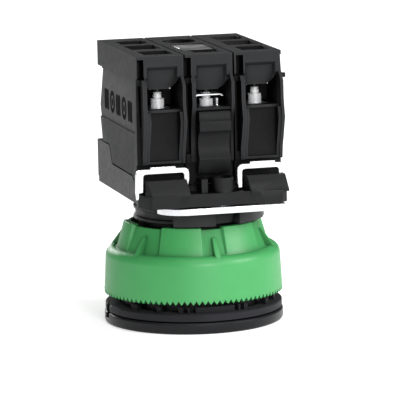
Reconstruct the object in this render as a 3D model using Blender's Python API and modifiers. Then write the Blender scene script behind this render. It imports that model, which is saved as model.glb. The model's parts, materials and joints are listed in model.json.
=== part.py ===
"""Flush industrial push button for a 30 mm panel hole, with two contact blocks and a light module.

It stands on its operator face: +Z runs from the bezel through the panel to the contact blocks, -Y is the
side with the release latch, and the origin is the centre of the bezel's face. Sizes below are in
millimetres; the helpers turn them into metres.
"""

import math

import bmesh
import bpy
from mathutils import Matrix, Vector

MM = 0.001
GAP = 0.3  # between pieces that rest on each other
ROUND_STEPS = 48
HIDDEN_STEPS = 32
SMALL_STEPS = 24
MERGE = 0.00001
SMOOTH_ANGLE = math.radians(35)

# Operator
BEZEL_R = 18.5
BEZEL_TOP = 1.75
RIM_TOP = 2.35
RIM_BORE_R = 17.3
OPENING_R = 14.1
FLANGE_R = 16.8
FLANGE_TOP = 3.0
CUP_R = 15.0
CUP_BORE_R = 13.75
CUP_TOP = 12.9
BARREL_R = 11.1
BARREL_BORE_R = 9.6
BARREL_TOP = 26.5
LEDGE_BORE_R = 8.0
LEDGE_LOW = 19.8
LEDGE_TOP = 24.6
THREAD_PITCH = 1.5
THREAD_DEPTH = 0.4
THREAD_TURNS = 2
PUSHER_R = 7.6
PUSHER_BORE_R = 6.2
PUSHER_FLANGE_R = 12.6
PUSHER_FLANGE_LOW = 6.3
PUSHER_FLANGE_TOP = 7.3
ACTUATOR_LOW = 28.6
ACTUATOR_TOP = 30.1
CAP_R = 13.4

# Each of the gasket's pads: its middle in degrees from the front, positive towards +X, and its half-width
GASKET_PADS = (
    [(-61, 3), (-40, 1.6), (-24, 1.6), (-18.5, 0.8), (0.5, 14), (18.5, 0.8), (24, 1.6), (48, 2)]
    + [(66, 3), (90, 8), (118, 4), (140, 10), (165, 3), (180, 3), (195, 3), (222, 10), (245, 4)]
)

# Tightening nut
NUT_LOW = 6.05
NUT_TOP = 21.1
NUT_R = 18.45
NUT_TEETH = 96
TOOTH_HEIGHT = 0.8
LOBES = 6
RECESS_TURN = 1.9  # degrees from the front to the first recess's middle
NARROW_RECESS = 9.2  # half-angles of the recesses, of which every third is narrow
WIDE_RECESS = 16.5
RECESS_DEPTH = 0.7
RECESS_DROP = 0.45
HUB_LOW_R = 15.7
HUB_TOP_R = 14.1
HUB_BORE_R = 12.75
HUB_LOW = 15.6

# Locking ring, clamp plate and collar
RING_LOW = 21.4
RING_TOP = 24.4
RING_R = 12.1
STEP_R = 14.5
THUMB_R = 14.9
SADDLE_R = 12.9
GRIP_INNER_R = 11.55
PLATE_LOW = 24.7
PLATE_TOP = 26.0
COLLAR_HALF_X = 15.1
COLLAR_HALF_Y = 19.4
COLLAR_LOW = 26.35
BAR_TOP = 28.95
COLLAR_FLOOR_LOW = 26.8
COLLAR_FLOOR_TOP = 29.2
COLLAR_WALL = 1.2
SCREW_PLACE = (1.9, -17.0)
CLIP_FRONT = -17.0
CLIP_BACK = -16.2

# Blocks
BLOCK_PITCH = 10.2
BLOCK_HALF = 4.9
BLOCK_TOP = 56.8
BLOCK_LOW = 30.4
FRONT_Y = -15.6
BACK_Y = 17.6
SHOULDER_Z = 52.4
SCOOP_Y = -14.85
SCOOP_DRAFT = 0.67
FOOT_Z = 34.8
RIB_LOW = 34.95
LABEL_DEPTH = 0.3
SKIN = 0.05  # how far a rib stays inside the block's side, so that their faces don't coincide
CENTRE_X = 0.65  # the screws' and plungers' line, right of the block's own middle
CHAMBER_LEFT = -3.1
CHAMBER_RIGHT = 4.2
CHAMBER_LOW = 46.0
CHAMBER_TOP = 50.05
LIGHT_DROP = 0.55  # how much lower the light module's screws and chamber ceiling are
RIB_A = -3.95  # the left front rib's outer side
CAVITY_LEFT = -2.4
COVER_LEFT = 3.95
CAVITY_HALF_Y = 6.2
CAVITY_LOW = 36.0
CAVITY_TOP = 50.6
SCREW_YS = {"front": -10.5, "back": 9.4}
STRIP_LOW = 45.1
STRIP_TOP = 45.9
WELL_LOW = 41.8
HEAD_HEIGHT = 1.4
CLAMP_LOW = 49.75
CLAMP_REACH = 2.4
LIGHT_CLAMP_REACH = 3.15
LIGHT_CLAMP_LOW = 47.65
CLAMP_ROOM_TOP = 51.35

LATCH_PIVOT = (-15.1, 33.6)

# Contact mechanism: the bridge lags the plunger, whose window leaves it room
BRIDGE_LOW = 40.4
BRIDGE_TOP = 41.2
WINDOW_LOW = 38.8
WINDOW_TOP = 41.6
STEM_TOP = 42.6

BLACK = (0.035, 0.036, 0.038)
GREY_BLACK = (0.055, 0.055, 0.055)
GREEN = (0.10, 0.47, 0.17)
ZINC = (0.86, 0.87, 0.88)
BRASS = (0.72, 0.52, 0.22)
RUBBER = (0.02, 0.02, 0.02)
IVORY = (0.72, 0.71, 0.67)
STEEL = (0.6, 0.6, 0.62)

parts = bpy.data.collections.new("industrial_push_button")
cutters = bpy.data.collections.new("cutters")


# ---------------------------------------------------------------- helpers


def material(name, colour, roughness=0.5, metallic=0.0, alpha=1.0):
    made = bpy.data.materials.new(name)
    made.use_nodes = True
    shader = made.node_tree.nodes["Principled BSDF"]
    shader.inputs["Base Color"].default_value = (*colour, 1.0)
    shader.inputs["Roughness"].default_value = roughness
    shader.inputs["Metallic"].default_value = metallic
    shader.inputs["Alpha"].default_value = alpha
    return made


def add_object(name, mesh):
    obj = bpy.data.objects.new(name, mesh)
    parts.objects.link(obj)
    return obj


def from_bmesh(name, bm):
    bmesh.ops.recalc_face_normals(bm, faces=bm.faces)
    mesh = bpy.data.meshes.new(name)
    bm.to_mesh(mesh)
    bm.free()
    return add_object(name, mesh)


def put_box(bm, low, high):
    size = [(b - a) * MM for a, b in zip(low, high)]
    middle = [(a + b) / 2 * MM for a, b in zip(low, high)]
    place = Matrix.Translation(middle) @ Matrix.Diagonal((*size, 1.0))
    bmesh.ops.create_cube(bm, size=1.0, matrix=place)


def boxes(name, *corners):
    """One object from boxes that stay apart, each given as its low and high corners."""
    bm = bmesh.new()
    for low, high in corners:
        put_box(bm, low, high)
    return from_bmesh(name, bm)


def cylinder(name, centre, radius, low, high, steps=SMALL_STEPS):
    """A vertical cylinder whose origin is on its own axis."""
    bm = bmesh.new()
    bmesh.ops.create_cone(
        bm,
        cap_ends=True,
        segments=steps,
        radius1=radius * MM,
        radius2=radius * MM,
        depth=(high - low) * MM,
        matrix=Matrix.Translation((0.0, 0.0, (low + high) / 2 * MM)),
    )
    obj = from_bmesh(name, bm)
    obj.location = (centre[0] * MM, centre[1] * MM, 0.0)
    return obj


def turned(name, profile, centre=(0.0, 0.0), steps=ROUND_STEPS):
    """A ring or disc from a closed profile of (radius, height), down its outer side and up its inner."""
    mesh = bpy.data.meshes.new(name)
    points = [(r * MM, 0.0, z * MM) for r, z in profile]
    edges = [(i, (i + 1) % len(points)) for i in range(len(points))]
    if profile[0][0] == 0.0 and profile[-1][0] == 0.0:
        edges.pop()
    mesh.from_pydata(points, edges, [])
    obj = add_object(name, mesh)
    obj.location = (centre[0] * MM, centre[1] * MM, 0.0)
    screw = obj.modifiers.new("turn", "SCREW")
    screw.steps = steps
    screw.render_steps = steps
    screw.use_merge_vertices = True
    screw.merge_threshold = MERGE
    return obj


PLANES = {
    "X": Matrix(((0, 0, 1), (1, 0, 0), (0, 1, 0))),  # outline in (y, z), thickness along x
    "Y": Matrix(((1, 0, 0), (0, 0, -1), (0, 1, 0))),  # outline in (x, z), thickness along y
    "Z": Matrix.Identity(3),  # outline in (x, y), thickness along z
}


def plate(name, plane, outline, low, high):
    """A flat outline given a thickness, from low to high along the plane's own axis."""
    curve = bpy.data.curves.new(name, "CURVE")
    curve.dimensions = "2D"
    curve.fill_mode = "BOTH"
    curve.extrude = (high - low) / 2 * MM
    spline = curve.splines.new("POLY")
    spline.points.add(len(outline) - 1)
    for point, (a, b) in zip(spline.points, outline):
        point.co = (a * MM, b * MM, 0.0, 1.0)
    spline.use_cyclic_u = True
    guide = bpy.data.objects.new(name + ".outline", curve)
    bpy.context.scene.collection.objects.link(guide)
    along = {"X": (1, 0, 0), "Y": (0, 1, 0), "Z": (0, 0, 1)}[plane]
    guide.matrix_world = Matrix.Translation(
        Vector(along) * ((low + high) / 2 * MM)
    ) @ PLANES[plane].to_4x4()
    bpy.context.view_layer.update()
    graph = bpy.context.evaluated_depsgraph_get()
    mesh = bpy.data.meshes.new_from_object(guide.evaluated_get(graph))
    mesh.name = name
    bm = bmesh.new()
    bm.from_mesh(mesh)
    bmesh.ops.remove_doubles(bm, verts=bm.verts, dist=MERGE)
    bmesh.ops.recalc_face_normals(bm, faces=bm.faces)
    bm.to_mesh(mesh)
    bm.free()
    obj = add_object(name, mesh)
    obj.matrix_world = guide.matrix_world
    bpy.data.objects.remove(guide)
    bpy.data.curves.remove(curve)
    return obj


def put_away(obj):
    parts.objects.unlink(obj)
    cutters.objects.link(obj)
    obj.hide_render = True
    obj.display_type = "WIRE"


def boolean(obj, other, operation):
    modifier = obj.modifiers.new(other.name, "BOOLEAN")
    modifier.operation = operation
    modifier.solver = "EXACT"
    modifier.object = other
    put_away(other)
    return obj


def cut(obj, *others):
    for other in others:
        boolean(obj, other, "DIFFERENCE")
    return obj


def join(obj, *others):
    for other in others:
        boolean(obj, other, "UNION")
    return obj


def spun(obj, angle):
    """Turns an object about the button's own axis."""
    obj.matrix_world = Matrix.Rotation(angle, 4, "Z") @ obj.matrix_world
    return obj


def on_axis(obj, x, y, z=0.0):
    """Puts a moving piece's origin on its joint's axis, leaving the piece where it is."""
    bpy.context.view_layer.update()
    point = Vector((x, y, z)) * MM
    local = obj.matrix_world.inverted() @ point
    obj.data.transform(Matrix.Translation(-local))
    place = obj.matrix_world.copy()
    place.translation = point
    obj.matrix_world = place
    return obj


def bevel(obj, width, steps=1):
    modifier = obj.modifiers.new("bevel", "BEVEL")
    modifier.width = width * MM
    modifier.segments = steps
    modifier.limit_method = "ANGLE"
    modifier.angle_limit = math.radians(40)
    return obj


def finish(obj, look):
    obj.data.materials.clear()
    obj.data.materials.append(look)
    obj.data.shade_smooth()
    obj.data.set_sharp_from_angle(angle=SMOOTH_ANGLE)
    return obj


def arc(centre, radius, start, end, steps):
    """Points along an arc, from the start angle to the end angle in degrees."""
    angles = [math.radians(start + (end - start) * i / steps) for i in range(steps + 1)]
    return [(centre[0] + radius * math.cos(a), centre[1] + radius * math.sin(a)) for a in angles]


def coil(name, centre, radius, wire, low, high, turns, points_per_turn=10):
    """A compression spring on a vertical axis, its ends closed flat for one turn each."""
    curve = bpy.data.curves.new(name, "CURVE")
    curve.dimensions = "3D"
    curve.bevel_depth = wire / 2 * MM
    curve.bevel_resolution = 2
    curve.use_fill_caps = True
    count = turns * points_per_turn
    spline = curve.splines.new("POLY")
    spline.points.add(count)
    bottom = low + wire / 2
    top = high - wire / 2
    closed = wire * 1.12 / (top - bottom)
    for i, point in enumerate(spline.points):
        turn = i / points_per_turn
        inner = (turn - 1) / (turns - 2)
        rise = closed * turn if turn < 1 else closed + (1 - 2 * closed) * inner
        if turn > turns - 1:
            rise = 1 - closed * (turns - turn)
        angle = 2 * math.pi * turn
        x = centre[0] + radius * math.cos(angle)
        y = centre[1] + radius * math.sin(angle)
        point.co = (x * MM, y * MM, (bottom + (top - bottom) * rise) * MM, 1.0)
    obj = bpy.data.objects.new(name, curve)
    parts.objects.link(obj)
    return obj


# ---------------------------------------------------------------- operator head


def index_notch(name):
    """The nick in the rim and the gasket's skirt that the assembler lines up with the panel hole's notch."""
    return boxes(name, ((-19.0, -1.1, 1.2), (-17.8, 1.1, 4.5)))


def make_bezel():
    profile = [
        (18.2, RIM_TOP),
        (BEZEL_R, RIM_TOP - 0.3),
        (BEZEL_R, 0.55),
        (18.35, 0.16),
        (17.95, 0.0),
        (14.9, 0.0),
        (14.3, 0.25),
        (OPENING_R, 0.6),
        (OPENING_R, BEZEL_TOP),
        (RIM_BORE_R, BEZEL_TOP),
        (RIM_BORE_R, RIM_TOP),
    ]
    ring = turned("bezel", profile, steps=64)
    return finish(cut(ring, index_notch("bezel.notch")), material("bezel_metal", BLACK, 0.35))


def thread_profile(radius, top, turns):
    """The outer thread's ridges, from the top down."""
    points = []
    for i in range(turns):
        z = top - i * THREAD_PITCH
        points += [(radius, z - 0.3), (radius, z - 0.6), (radius - THREAD_DEPTH, z - 1.15)]
    return points


def make_operator_body():
    profile = [(10.8, BARREL_TOP), (BARREL_R, BARREL_TOP - 0.3)]
    profile += [(BARREL_R, CUP_TOP), (CUP_R - THREAD_DEPTH, CUP_TOP)]
    profile += thread_profile(CUP_R, CUP_TOP, THREAD_TURNS)
    profile += [(CUP_R, FLANGE_TOP + 2.8), (CUP_R, FLANGE_TOP)]
    profile += [(FLANGE_R - 0.25, FLANGE_TOP), (FLANGE_R, FLANGE_TOP - 0.25)]
    profile += [(FLANGE_R, BEZEL_TOP + GAP), (CUP_BORE_R, BEZEL_TOP + GAP), (CUP_BORE_R, 12.05)]
    profile += [(BARREL_BORE_R, 12.05), (BARREL_BORE_R, LEDGE_LOW), (LEDGE_BORE_R, LEDGE_LOW)]
    profile += [(LEDGE_BORE_R, LEDGE_TOP), (BARREL_BORE_R, LEDGE_TOP), (BARREL_BORE_R, BARREL_TOP)]
    body = turned("operator_body", profile)
    key = boxes("operator_body.key_slot", ((-0.9, 10.4, 23.6), (0.9, 12.0, 27.0)))
    return finish(cut(body, key), material("operator_plastic", BLACK, 0.45))


def make_panel_gasket():
    """A washer with a skirt round the flange, and pads that a panel squeezes."""
    low = FLANGE_TOP + GAP
    profile = [(18.1, low + 0.8), (18.3, low + 0.6), (18.3, RIM_TOP + GAP), (FLANGE_R + GAP, RIM_TOP + GAP)]
    profile += [(FLANGE_R + GAP, low), (15.35, low), (15.35, low + 0.8)]
    ring = turned("panel_gasket", profile)
    for middle, half in GASKET_PADS:
        name = f"panel_gasket.pad_{middle}"
        steps = max(1, int(half // 4))
        outer = arc((0, 0), 16.9, middle - half - 90, middle + half - 90, steps)
        inner = arc((0, 0), 15.6, middle + half - 90, middle - half - 90, steps)
        join(ring, plate(name, "Z", outer + inner, low + 0.4, low + 2.0))
    return finish(cut(ring, index_notch("panel_gasket.notch")), material("gasket_rubber", RUBBER, 0.8))


def make_lens_cap():
    profile = [
        (CAP_R - 0.2, PUSHER_FLANGE_LOW - GAP),
        (CAP_R, PUSHER_FLANGE_LOW - 0.6),
        (CAP_R, 1.2),
        (CAP_R - 0.6, 0.6),
        (CAP_R - 2.0, 0.5),
        (0.0, 0.75),
        (0.0, 1.95),
        (12.0, 1.8),
        (12.2, 2.0),
        (12.2, PUSHER_FLANGE_LOW - GAP),
    ]
    look = material("green_lens", (0.05, 0.42, 0.16), 0.2, alpha=0.8)
    return finish(turned("lens_cap", profile), look)


def make_diffuser():
    profile = [(11.9, 3.4), (11.9, 2.3), (0.0, 2.4), (0.0, 3.2), (11.2, 3.0), (11.2, 3.4)]
    diffuser = turned("diffuser", profile, steps=HIDDEN_STEPS)
    return finish(diffuser, material("diffuser_white", (0.85, 0.86, 0.84), 0.4))


def make_pusher():
    profile = [
        (PUSHER_R, ACTUATOR_LOW - GAP),
        (PUSHER_R, PUSHER_FLANGE_TOP),
        (PUSHER_FLANGE_R, PUSHER_FLANGE_TOP),
        (PUSHER_FLANGE_R, PUSHER_FLANGE_LOW),
        (11.8, PUSHER_FLANGE_LOW),
        (11.8, 4.2),
        (10.8, 4.2),
        (10.8, PUSHER_FLANGE_LOW),
        (PUSHER_BORE_R, PUSHER_FLANGE_LOW),
        (PUSHER_BORE_R, ACTUATOR_LOW - GAP),
    ]
    return finish(turned("pusher", profile, steps=HIDDEN_STEPS), material("pusher_plastic", IVORY, 0.5))


def make_lip_seal():
    low = PUSHER_FLANGE_TOP + GAP
    profile = [(13.3, low + 0.7), (13.45, low + 0.6), (13.3, low)]
    profile += [(10.6, low), (10.6, low + 0.35), (12.7, low + 0.4), (13.0, low + 0.7)]
    return finish(turned("lip_seal", profile, steps=HIDDEN_STEPS), material("seal_rubber", RUBBER, 0.7))


def make_return_spring():
    spring = coil("return_spring", (0, 0), 8.75, 0.7, PUSHER_FLANGE_TOP + GAP, LEDGE_LOW - GAP, 5)
    spring.data.materials.append(material("spring_steel", STEEL, 0.3, 1.0))
    return spring


def make_retaining_ring():
    """An open ring that snaps round the pusher and rests on the barrel's ledge."""
    low = LEDGE_TOP + GAP
    outline = arc((0, 0), 9.1, -65, 245, 30) + arc((0, 0), 7.9, 245, -65, 30)
    ring = plate("retaining_ring", "Z", outline, low, low + 0.9)
    return finish(ring, material("ring_steel", STEEL, 0.35, 1.0))


def make_actuator_plate():
    profile = [(8.9, ACTUATOR_TOP), (9.2, ACTUATOR_TOP - 0.3), (9.2, ACTUATOR_LOW)]
    profile += [(PUSHER_BORE_R, ACTUATOR_LOW), (PUSHER_BORE_R, ACTUATOR_TOP)]
    disc = turned("actuator_plate", profile, steps=HIDDEN_STEPS)
    return finish(disc, material("actuator_plastic", IVORY, 0.5))


# ---------------------------------------------------------------- tightening nut and locking ring


def nut_profile():
    profile = [(HUB_TOP_R - 0.25, NUT_TOP), (HUB_TOP_R, NUT_TOP - 0.25), (HUB_LOW_R, HUB_LOW)]
    profile += [(15.95, HUB_LOW - 0.35), (16.25, HUB_LOW)] + arc((16.05, 13.7), 2.0, 80, 8, 4)
    profile += [(NUT_R, NUT_LOW), (16.6, NUT_LOW), (16.6, 9.4), (CUP_R + 0.35, 9.8)]
    profile += [(CUP_R + 0.35, 13.2), (HUB_BORE_R, 13.2), (HUB_BORE_R, NUT_TOP)]
    return profile


def recess_cutter(name, half):
    """A wedge in front of the hub, its inner side following the hub's cone at the recess depth."""
    low_r = HUB_LOW_R - RECESS_DEPTH
    outline = arc((0, 0), 17.8, -90 - half * 1.07, -90 + half * 1.07, 4)
    outline += arc((0, 0), low_r, -90 + half * 0.93, -90 - half * 0.93, 6)
    wedge = plate(name, "Z", outline, HUB_LOW - 0.1, NUT_TOP + 0.5)
    cone = (HUB_LOW_R - HUB_TOP_R) / (NUT_TOP - HUB_LOW)
    top_r = low_r - cone * (NUT_TOP + 0.5 - HUB_LOW)
    for vertex in wedge.data.vertices:
        flat = math.hypot(vertex.co.x, vertex.co.y) / MM
        if vertex.co.z > 0 and flat < low_r + 0.1:
            vertex.co.x *= top_r / flat
            vertex.co.y *= top_r / flat
    return wedge


def make_tightening_nut():
    nut = turned("tightening_nut", nut_profile())
    fin_top = NUT_TOP - 2.0
    fin = [(-13.6, 14.6), (-13.9, fin_top), (-14.3, fin_top), (-17.5, 15.0), (-17.3, 14.6)]
    for i in range(LOBES):
        angle = i * 2 * math.pi / LOBES + math.radians(RECESS_TURN)
        half = WIDE_RECESS if i % 3 else NARROW_RECESS
        rim = arc((0, 0), 17.0, -90 - half * 0.93, -90 + half * 0.93, 4)
        rim += arc((0, 0), 12.0, -90 + half * 0.93, -90 - half * 0.93, 4)
        gap = plate(f"tightening_nut.gap_{i}", "Z", rim, NUT_TOP - RECESS_DROP, NUT_TOP + 0.6)
        cut(nut, spun(recess_cutter(f"tightening_nut.recess_{i}", half), angle), spun(gap, angle))
    for i in range(LOBES):
        angle = i * 2 * math.pi / LOBES + math.radians(RECESS_TURN + 0.8)
        join(nut, spun(plate(f"tightening_nut.fin_{i}", "X", fin, -0.6, 0.6), angle))
    cut(nut, tooth_cutter())
    return finish(nut, material("green_plastic", GREEN, 0.4))


def tooth_cutter():
    """The V-shaped notches between the teeth, one short prism each, all round the skirt's edge."""
    bm = bmesh.new()
    half = 0.92 * math.pi * NUT_R / NUT_TEETH
    below = NUT_LOW - 0.05
    corners = [(-half, below), (half, below), (0.0, NUT_LOW + TOOTH_HEIGHT)]
    for i in range(NUT_TEETH):
        turn = Matrix.Rotation((i + 0.5) * 2 * math.pi / NUT_TEETH, 4, "Z")
        rings = []
        for radius in (NUT_R + 0.6, 16.3):
            scale = radius / NUT_R
            ring = [bm.verts.new(turn @ Vector((a * scale * MM, -radius * MM, z * MM))) for a, z in corners]
            rings.append(ring)
        bm.faces.new(rings[0])
        bm.faces.new(reversed(rings[1]))
        for a in range(3):
            b = (a + 1) % 3
            bm.faces.new((rings[0][b], rings[0][a], rings[1][a], rings[1][b]))
    return from_bmesh("tightening_nut.teeth", bm)


def make_locking_ring():
    profile = [
        (RING_R - 0.25, RING_TOP),
        (RING_R, RING_TOP - 0.2),
        (RING_R, RING_TOP - 0.75),
        (RING_R - 0.4, RING_TOP - 0.95),
        (RING_R - 0.4, RING_LOW + 0.95),
        (RING_R, RING_LOW + 0.75),
        (RING_R, RING_LOW + 0.2),
        (RING_R - 0.25, RING_LOW),
        (BARREL_R + GAP, RING_LOW),
        (BARREL_R + GAP, RING_TOP),
    ]
    ring = turned("locking_ring", profile)
    low, high = RING_LOW + 0.02, RING_TOP - 0.02
    join(
        ring,
        grip("locking_ring.step", STEP_R, (-30, -22, -13, -4, 4.5), low, high - 0.4),
        grip("locking_ring.saddle", SADDLE_R, (4, 12, 19, 26.5), low + 0.2, high - 0.9),
        grip("locking_ring.tab", THUMB_R, (26, 38, 50, 62, 75), low, high),
    )
    return finish(ring, material("locking_plastic", GREY_BLACK, 0.4))


def grip(name, radius, angles, low, high):
    """A block outside the ring, faceted at these angles in degrees from the front, positive towards +X."""
    turns = [math.radians(angle - 90) for angle in angles]
    outline = [(radius * math.cos(a), radius * math.sin(a)) for a in turns]
    outline += [(GRIP_INNER_R * math.cos(a), GRIP_INNER_R * math.sin(a)) for a in reversed(turns)]
    return plate(name, "Z", outline, low, high)


# ---------------------------------------------------------------- collar


def make_collar():
    floor = [(-15.0, -14.6), (15.0, -14.6), (15.0, 19.3), (-15.0, 19.3)]
    collar = plate("collar", "Z", floor, COLLAR_FLOOR_LOW, COLLAR_FLOOR_TOP)
    bar = [(-15.1, -13.6), (-15.1, -15.0), (-14.1, -17.6), (-13.2, -19.3), (-9.1, -19.4), (-6.2, -18.9)]
    bar += [(-3.6, -18.8), (-1.8, -19.2), (0.4, -19.4), (2.4, -19.3), (4.9, -18.7), (7.4, -18.9)]
    bar += [(10.5, -19.3), (13.9, -19.4), (15.1, -18.4), (15.1, -13.6)]
    sill = boxes("collar.sill", ((-13.5, -14.7, 28.0), (13.5, -13.8, 30.1)))
    join(collar, plate("collar.bar", "Z", bar, COLLAR_LOW, BAR_TOP), sill)
    wall = [(-12.4, 28.0), (-12.4, 31.0), (-10.4, 32.1), (6.5, 32.1), (9.0, 35.8)]
    wall += [(COLLAR_HALF_Y, 35.8), (COLLAR_HALF_Y, 28.0)]
    for side, name in ((-1, "collar.wall_left"), (1, "collar.wall_right")):
        ends = sorted((side * COLLAR_HALF_X, side * (COLLAR_HALF_X - COLLAR_WALL)))
        join(collar, plate(name, "X", wall, *ends))
    back = [(-14.5, 28.0), (14.5, 28.0), (14.5, 35.6), (-14.5, 35.6)]
    join(collar, plate("collar.back_wall", "Y", back, 18.1, COLLAR_HALF_Y - 0.2))
    for name, left in (("collar.hook_left", -14.1), ("collar.hook_right", 6.5)):
        join(collar, hook(name, left))
    rib = boxes("collar.rib", ((-2.75, -18.6, 28.0), (-1.5, -15.0, 31.8)))
    boss = cylinder("collar.boss", SCREW_PLACE, 2.3, 28.0, 31.9, ROUND_STEPS)
    join(collar, rib, boss)
    hole = cylinder("collar.hole", (0, 0), BARREL_R + 0.4, 25.0, 30.0, ROUND_STEPS)
    screw_hole = cylinder("collar.screw_hole", SCREW_PLACE, 1.4, 25.0, 33.0)
    counterbore = cylinder("collar.counterbore", SCREW_PLACE, 1.85, 29.7, 33.0)
    cut(collar, hole, screw_hole, counterbore)
    return finish(collar, material("collar_plastic", BLACK, 0.42))


def hook(name, left):
    """A hook on the front bar: its face leans back towards the top, its left end is cut off at a slant."""
    outline = [(-19.15, 28.95), (-18.2, 31.6), (-17.8, 31.95), (-17.3, 31.95), (-17.3, 28.5), (-19.15, 28.5)]
    body = plate(name, "X", outline, left, left + 8.9)
    end = [(left - 0.5, -16.4), (left + 1.4, -20.0), (left - 0.5, -20.0)]
    side = boxes(name + ".slant", ((-1.0, -20.0, -1.0), (1.0, -17.0, 6.0)))
    lean = Matrix.Rotation(math.radians(-9.0), 4, "Y")
    side.matrix_world = Matrix.Translation(((left + 9.9) * MM, 0.0, 28.9 * MM)) @ lean
    return cut(body, plate(name + ".end", "Z", end, 28.0, 33.0), side)


def make_collar_screw():
    """A slotted screw, its head sunk in the collar's boss."""
    x, y = SCREW_PLACE
    head = cylinder("collar_screw", SCREW_PLACE, 1.55, 30.0, 31.0)
    shank = cylinder("collar_screw.shank", SCREW_PLACE, 1.1, 24.9, 30.5, 16)
    slot = boxes("collar_screw.slot", ((x - 2.0, y - 0.3, 30.6), (x + 2.0, y + 0.3, 33.0)))
    return finish(cut(join(head, shank), slot), material("collar_screw_zinc", ZINC, 0.3, 1.0))


def make_clamp_plate():
    """The plated strip under the collar's front bar."""
    outline = [(-11.0, -14.2), (-10.6, -15.8), (-9.6, -17.2), (-8.0, -18.4), (-6.0, -19.1)]
    outline += [(14.2, -19.1), (14.8, -18.4), (14.8, -14.2)]
    strip = plate("clamp_plate", "Z", outline, PLATE_LOW, PLATE_TOP)
    hole = cylinder("clamp_plate.hole", SCREW_PLACE, 1.4, 23.0, 27.0, 16)
    return finish(cut(strip, hole), material("plate_zinc", ZINC, 0.3, 1.0))


def rounded_frame(x_low, x_high, z_low, z_high, radius):
    """Outline of an inverted U's outer side, from its lower left round to its lower right."""
    left = arc((x_low + radius, z_high - radius), radius, 180, 90, 4)
    right = arc((x_high - radius, z_high - radius), radius, 90, 0, 4)
    return [(x_low, z_low)] + left + right + [(x_high, z_low)]


def make_clip(name, x_low, x_high, inner_low, inner_high, outer_leg, tab_middle):
    """A plated spring strip bent to an inverted U in front of a block's foot."""
    outer = rounded_frame(x_low, x_high, 30.0, 34.2, 1.1)
    inner = rounded_frame(inner_low, inner_high, 30.0, 33.25, 0.6)
    outline = outer[1:-1] + [(x_high, 31.8), (x_high - 0.5, 29.5), (inner_high, 29.5)]
    outline += inner[::-1][1:-1] + outer_leg
    clip = plate(name, "Y", outline, CLIP_FRONT, CLIP_BACK)
    tab = boxes(name + ".tab", ((tab_middle - 2.6, -16.9, 33.8), (tab_middle + 2.6, -16.3, 34.6)))
    return join(clip, tab)


def make_clips():
    left_leg = [(-14.5, 29.6), (-15.35, 29.5), (-15.4, 28.3), (-15.8, 28.1), (-16.0, 29.6)]
    right_leg = [(6.1, 29.5), (5.4, 29.5), (5.2, 31.6)]
    left = make_clip("left_clip", -15.9, -4.9, -14.4, -5.9, left_leg, -10.25)
    right = make_clip("right_clip", 5.2, 14.9, 6.15, 13.9, right_leg, 10.5)
    flange = [(-16.5, 30.2), (-14.8, 30.2), (-14.8, 32.6), (-15.4, 33.2), (-16.5, 33.2)]
    join(right, plate("right_clip.flange", "X", flange, 5.25, 5.65))
    for clip in (left, right):
        finish(clip, material(clip.name + "_zinc", ZINC, 0.28, 1.0))


# ---------------------------------------------------------------- blocks


def block_box(x, low, high):
    """A box given across from a block's middle."""
    return (x + low[0], low[1], low[2]), (x + high[0], high[1], high[2])


def front_rib(name, x, low, high):
    """A wall that stands out of the front face and bulges at its middle."""
    outline = [(-14.0, 53.0), (-15.4, 53.0), (-17.3, 50.9), (-17.4, 47.2), (-18.2, 43.5)]
    outline += [(-17.1, 39.9), (-16.2, 37.3), (-15.9, RIB_LOW), (-14.0, RIB_LOW)]
    return plate(name, "X", outline, x + low, x + high)


def centre_rib(name, x, low, high):
    """The light module's rib, which falls back beside the latch."""
    outline = [(-14.0, 53.0), (-15.4, 53.0), (-17.1, 50.9), (-17.2, 46.6), (-16.3, 44.5)]
    outline += [(-15.6, 41.0), (-15.5, RIB_LOW), (-14.0, RIB_LOW)]
    return plate(name, "X", outline, x + low, x + high)


def back_rib(name, x, low, high):
    outline = [(13.0, 52.1), (13.73, 52.1), (17.1, 43.4), (14.9, 36.4), (14.7, RIB_LOW), (13.0, RIB_LOW)]
    return plate(name, "X", outline, x + low, x + high)


def block_core(name, x):
    outline = [(FRONT_Y, BLOCK_TOP), (FRONT_Y, SHOULDER_Z), (-15.2, 52.0), (-15.2, FOOT_Z)]
    outline += [(-14.4, FOOT_Z), (-14.4, BLOCK_LOW), (14.4, BLOCK_LOW), (14.4, FOOT_Z + 0.2), (13.8, 36.0)]
    outline += [(13.8, 51.65), (BACK_Y, 51.65), (BACK_Y, BLOCK_TOP)]
    return plate(name, "X", outline, x - BLOCK_HALF, x + BLOCK_HALF)


def scoop_cutter(name, x):
    """A hollow in the front face, its sides drawn in towards its floor."""
    outline = [(-16.6, 55.3), (FRONT_Y, 54.6), (SCOOP_Y, 53.9), (SCOOP_Y, 49.0), (-16.6, 49.0)]
    scoop = plate(name + ".scoop", "X", outline, x - 2.65, x + 3.7)
    for vertex in scoop.data.vertices:
        depth = vertex.co.x - FRONT_Y * MM
        vertex.co.z *= 1 - SCOOP_DRAFT * depth / abs(vertex.co.z)
    return scoop


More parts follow.
